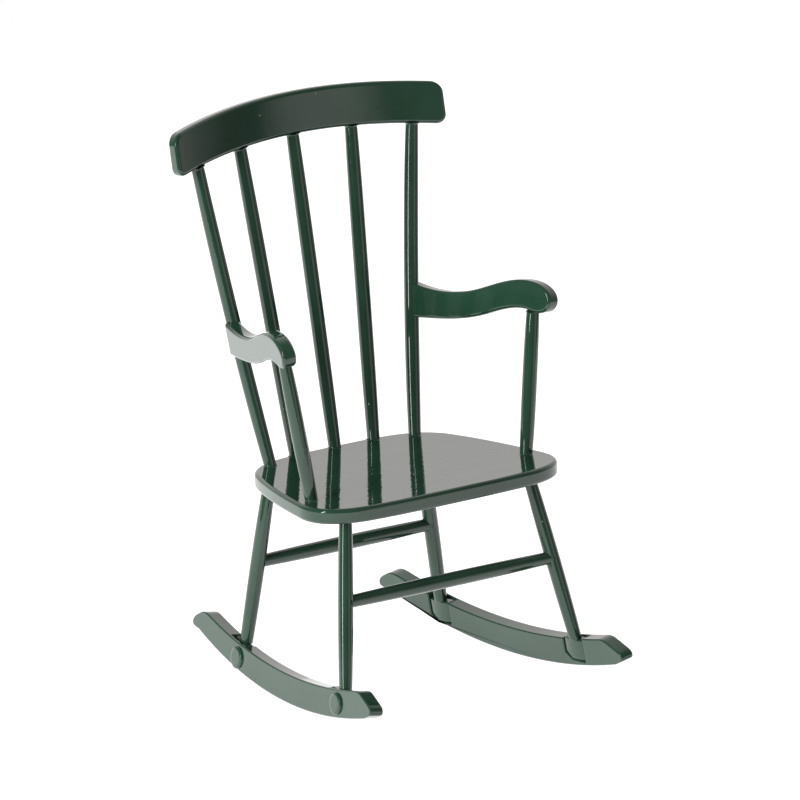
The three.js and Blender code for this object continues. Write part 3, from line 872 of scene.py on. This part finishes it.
def foot_outline(at, gap=0.0):
    """The side of the flat foot of a leg, or with a gap the notch it sits in."""
    low, high = at - FOOT["width"] / 2 - gap, at + FOOT["width"] / 2 + gap
    floor = FOOT["bottom"] - gap
    roof = NOTCH["top"] if gap else FOOT["top"]
    rise, run = FOOT["chamfer"], FOOT["slant"] * FOOT["chamfer"]
    return [Vector(p) for p in (
        (low, roof), (low, floor + rise), (low + run, floor), (high, floor), (high, roof))]


def rocker_axes(side):
    """Axes of a rocker, from the datum level with the back leg."""
    y, z = ROCKER_DATUM
    return plate_axes(f"rocker_{side}", (0, y * MM, z * MM))


class CHAIR_OT_legs(bpy.types.Operator):
    """Turn the legs and form the flat feet that sit in the rockers"""
    bl_idname = "chair.legs"
    bl_label = "Legs"

    def execute(self, context):
        shape = context.scene.chair_shape
        sizes = {"end": shape.leg_end, "middle": shape.leg_middle, "fullness": LEG["fullness"],
                 "fillets": (-LEG["foot_rounding"] * MM, shape.fillet)}
        lowest = (LEG["foot"] - LEG["foot_rounding"]) * MM
        for side in ("left", "right"):
            axes = rocker_axes(side)
            for end, at in FOOT["places"].items():
                node = f"leg_{end}_{side}"
                head, _, slope = leg_axis(node, end)
                head.z += SINK * MM
                foot = head + slope * (lowest - head.z)
                hand_over(turn_stick(f"{node}_turning", foot, head, sizes), node)
                self.form_foot(f"{node}_foot", at, axes, node)
        return {"FINISHED"}

    def form_foot(self, name, at, axes, node):
        """The flat foot, with its inner face gently rounded."""
        face = PLATE / 2 * MM
        piece = prism(name, foot_outline(at), axes, face - FOOT["depth"] * MM, face)
        shape = bmesh.new()
        shape.from_mesh(piece.data)
        place = LEVEL @ axes
        back = place.inverted()
        for i in range(1, FOOT["slices"]):
            cut_at = (at + FOOT["width"] * (i / FOOT["slices"] - 0.5)) * MM
            bmesh.ops.bisect_plane(
                shape, geom=shape.verts[:] + shape.edges[:] + shape.faces[:],
                plane_co=place @ Vector((cut_at, 0, 0)), plane_no=place.to_3x3().col[0])
        for vertex in shape.verts:
            point = back @ vertex.co
            if point.z > 0:
                share = 2 * (point.x / MM - at) / FOOT["width"]
                point.z += FOOT["bulge"] * MM * (FOOT["crown"] - share ** 2)
                vertex.co = place @ point
        shape.to_mesh(piece.data)
        shape.free()
        soften(piece, FOOT["edge"] * MM, segments=3)
        hand_over(piece, node)


class CHAIR_OT_stretchers(bpy.types.Operator):
    """Turn the two cross bars between the legs"""
    bl_idname = "chair.stretchers"
    bl_label = "Stretchers"

    def execute(self, context):
        shape = context.scene.chair_shape
        sizes = {"end": shape.leg_end - STRETCHER["end_less"] * MM,
                 "middle": shape.leg_middle - STRETCHER["middle_less"] * MM,
                 "fullness": STRETCHER["fullness"]}
        for end in FOOT["places"]:
            _, bar, _ = leg_axis(f"leg_{end}_left", end)
            reach = bar.x - STRETCHER["short"] * MM
            place = LEVEL @ Matrix.Translation((0, bar.y, bar.z)) @ Matrix.Rotation(pi / 2, 4, "Y")
            piece = turn_stick(f"stretcher_{end}_turning", Vector((0, 0, -reach)),
                               Vector((0, 0, reach)), sizes, place=place)
            hand_over(piece, f"stretcher_{end}")
        return {"FINISHED"}


class CHAIR_OT_rockers(bpy.types.Operator):
    """Build the rockers, notched for the feet of the legs"""
    bl_idname = "chair.rockers"
    bl_label = "Rockers"

    def execute(self, context):
        shape = context.scene.chair_shape
        face = shape.plate / 2
        for side in ("left", "right"):
            node = f"rocker_{side}"
            axes = rocker_axes(side)
            piece = prism(f"{node}_plate", rocker_outline(axes), axes, -face, face)
            floor = face - (FOOT["depth"] + NOTCH["gap"]) * MM
            ceiling = face + NOTCH["past_face"] * MM
            notches = [
                prism("notch", foot_outline(at, NOTCH["gap"]), axes, floor, ceiling)
                for at in FOOT["places"].values()]
            cut(piece, notches)
            soften(piece, shape.edge, segments=4)
            hand_over(piece, node)
        return {"FINISHED"}


class CHAIR_OT_rivets(bpy.types.Operator):
    """Set the rivet heads on the outer faces of the rockers"""
    bl_idname = "chair.rivets"
    bl_label = "Rivets"

    def execute(self, context):
        shape = context.scene.chair_shape
        points, facings = [], []
        for side in ("left", "right"):
            place = LEVEL @ rocker_axes(side)
            for at in FOOT["places"].values():
                spot = Vector(((at + RIVET["forward"]) * MM, RIVET["level"] * MM, -shape.plate / 2))
                points.append(place @ spot)
                facings.append(-place.to_3x3().col[2])
        mesh = bpy.data.meshes.new("rivet_heads")
        mesh.from_pydata(points, [], [])
        facing = mesh.attributes.new("facing", "FLOAT_VECTOR", "POINT")
        for i, vector in enumerate(facings):
            facing.data[i].vector = vector
        piece = new_object("rivet_heads", mesh)
        grow(piece, tree_named("Rivet heads", rivet_tree), {
            "Radius": shape.rivet / 2, "Height": shape.rivet_height, "Sides": RIVET["sides"],
            "Material": gloss_enamel()})
        hand_over(piece, "rivet_front_left", "rivet_front_right", "rivet_back_left",
                  "rivet_back_right")
        return {"FINISHED"}


# ---- stage ----------------------------------------------------------------------------------
FLOOR_HALF = 0.45                 # half of the floor's side, in metres
SENSOR = 36                       # the camera's sensor width, in millimetres
FAR = 20                          # the camera sees this far, in metres
SURROUNDINGS = (1, 0.95, 0.95, 1)  # linear colour of what the enamel mirrors
# headings of the lit parts of the studio, in degrees from the camera's, and how far they spread,
# as the cosines where they are full and where they are gone
SWEEP = {"azimuth": 165, "reach": (0.85, 0.15)}
REFLECTOR = {"azimuth": 56, "reach": (0.995, 0.92)}
# name, azimuth, elevation, distance, size and power of each lamp, and whether the enamel
# mirrors it; in degrees, metres and watts
LAMPS = (
    ("left_strip", -47, 22, 2.4, (0.23, 1.6), 19, True),
    ("overhead_panel", 150, 78, 1.6, (2.4, 2.4), 16, False),
    ("left_fill", -55, 16, 2.2, (1.4, 1.4), 92, False),
)


def heading(azimuth, elevation):
    """Unit vector from the chair towards a place round it, from straight in front."""
    return Vector((sin(azimuth) * cos(elevation), -cos(azimuth) * cos(elevation), sin(elevation)))


def soft_light(name, azimuth, elevation, distance, size, power, mirrored):
    """A soft box that faces the chair; its azimuth is measured from the camera's heading."""
    studio = bpy.context.scene.chair_studio
    data = bpy.data.lights.new(name, "AREA")
    data.shape = "RECTANGLE"
    data.size, data.size_y = size
    data.energy = power
    lamp = bpy.data.objects.new(name, data)
    lamp.visible_glossy = mirrored
    bpy.context.scene.collection.objects.link(lamp)
    towards = heading(studio.azimuth + radians(azimuth), radians(elevation))
    lamp.location = Vector(studio.aim) + towards * distance
    lamp.rotation_euler = towards.to_track_quat("Z", "Y").to_euler()


def lobe(tree, way, zone, strength):
    """Light round one heading of the studio, at full strength in the middle of its zone."""
    studio = bpy.context.scene.chair_studio
    middle = heading(studio.azimuth + radians(zone["azimuth"]), 0)
    full, gone = zone["reach"]
    facing = add_node(tree, "ShaderNodeVectorMath", {0: way, 1: middle}, operation="DOT_PRODUCT")
    level = add_node(tree, "ShaderNodeMapRange", {
        "Value": facing.outputs["Value"], "From Min": gone, "From Max": full,
        "To Min": 0.0, "To Max": strength}, interpolation_type="SMOOTHSTEP")
    return level.outputs[0]


def white_studio():
    """The studio as the enamel mirrors it: a lit sweep behind the chair, a soft reflector to the
    camera's right and dim light elsewhere. The camera itself sees plain white."""
    studio = bpy.context.scene.chair_studio
    world = bpy.data.worlds.new("white_studio")
    world.use_nodes = True
    tree = world.node_tree
    tree.nodes.clear()
    way = add_node(tree, "ShaderNodeTexCoord").outputs["Generated"]
    sweep = lobe(tree, way, SWEEP, studio.backdrop)
    side = lobe(tree, way, REFLECTOR, studio.side)
    lit = add_node(tree, "ShaderNodeMath", {0: sweep, 1: side}, operation="ADD")
    level = add_node(tree, "ShaderNodeMath", {0: lit.outputs[0], 1: studio.dark}, operation="ADD")
    glow = add_node(tree, "ShaderNodeBackground", {
        "Color": SURROUNDINGS, "Strength": level.outputs[0]})
    plain = add_node(tree, "ShaderNodeBackground", {"Color": (1, 1, 1, 1), "Strength": 1.0})
    eye = add_node(tree, "ShaderNodeLightPath")
    both = add_node(tree, "ShaderNodeMixShader", {
        0: eye.outputs["Is Camera Ray"], 1: glow.outputs[0], 2: plain.outputs[0]})
    end = add_node(tree, "ShaderNodeOutputWorld", {"Surface": both.outputs[0]})
    end.is_active_output = True
    bpy.context.scene.world = world


class CHAIR_OT_stage(bpy.types.Operator):
    """Set up the floor, the lights and the camera"""
    bl_idname = "chair.stage"
    bl_label = "Stage"

    def execute(self, context):
        studio = context.scene.chair_studio
        half = FLOOR_HALF
        mesh = bpy.data.meshes.new("floor")
        mesh.from_pydata(
            [(-half, -half, 0), (half, -half, 0), (half, half, 0), (-half, half, 0)], [],
            [(0, 1, 2, 3)])
        mesh.materials.append(shooting_table())
        new_object("floor", mesh)
        white_studio()
        for lamp in LAMPS:
            soft_light(*lamp)
        context.scene.view_settings.view_transform = "Standard"
        self.place_camera(context, studio)
        return {"FINISHED"}

    def place_camera(self, context, studio):
        """A long lens far from the chair, so that its verticals stay almost parallel."""
        data = bpy.data.cameras.new("long_lens")
        data.sensor_width = SENSOR
        data.lens = studio.lens
        data.clip_end = FAR
        camera = bpy.data.objects.new("long_lens", data)
        context.scene.collection.objects.link(camera)
        back = heading(studio.azimuth, studio.elevation)
        right = Vector((0, 0, 1)).cross(back).normalized()
        up = back.cross(right)
        turn = Matrix((right, up, back)).transposed() @ Matrix.Rotation(-studio.roll, 3, "Z")
        camera.matrix_world = Matrix.Translation(
            Vector(studio.aim) + back * studio.distance) @ turn.to_4x4()
        context.scene.camera = camera


# ---- panel and registration -----------------------------------------------------------------
STEPS = ("stage", "seat", "crest", "sticks", "arms", "legs", "stretchers", "rockers", "rivets")


class CHAIR_PT_panel(bpy.types.Panel):
    """Lists the chair's settings and the steps that build it"""
    bl_idname = "CHAIR_PT_panel"
    bl_label = "Rocking Chair"
    bl_space_type = "VIEW_3D"
    bl_region_type = "UI"
    bl_category = "Rocking Chair"

    def draw(self, context):
        for group in ("chair_shape", "chair_finish", "chair_studio"):
            box = self.layout.box()
            settings = getattr(context.scene, group)
            for name in settings.__annotations__:
                box.prop(settings, name)
        for step in STEPS:
            self.layout.operator(f"chair.{step}")


CLASSES = (
    ChairShape, ChairFinish, ChairStudio, CHAIR_OT_seat, CHAIR_OT_crest, CHAIR_OT_sticks,
    CHAIR_OT_arms, CHAIR_OT_legs, CHAIR_OT_stretchers, CHAIR_OT_rockers, CHAIR_OT_rivets,
    CHAIR_OT_stage, CHAIR_PT_panel,
)


def register():
    for cls in CLASSES:
        bpy.utils.register_class(cls)
    bpy.types.Scene.chair_shape = PointerProperty(type=ChairShape)
    bpy.types.Scene.chair_finish = PointerProperty(type=ChairFinish)
    bpy.types.Scene.chair_studio = PointerProperty(type=ChairStudio)


def unregister():
    del bpy.types.Scene.chair_shape
    del bpy.types.Scene.chair_finish
    del bpy.types.Scene.chair_studio
    for cls in reversed(CLASSES):
        bpy.utils.unregister_class(cls)


def main():
    """Builds the stage and the chair."""
    register()
    for step in STEPS:
        getattr(bpy.ops.chair, step)()


if __name__ == "__main__":
    main()
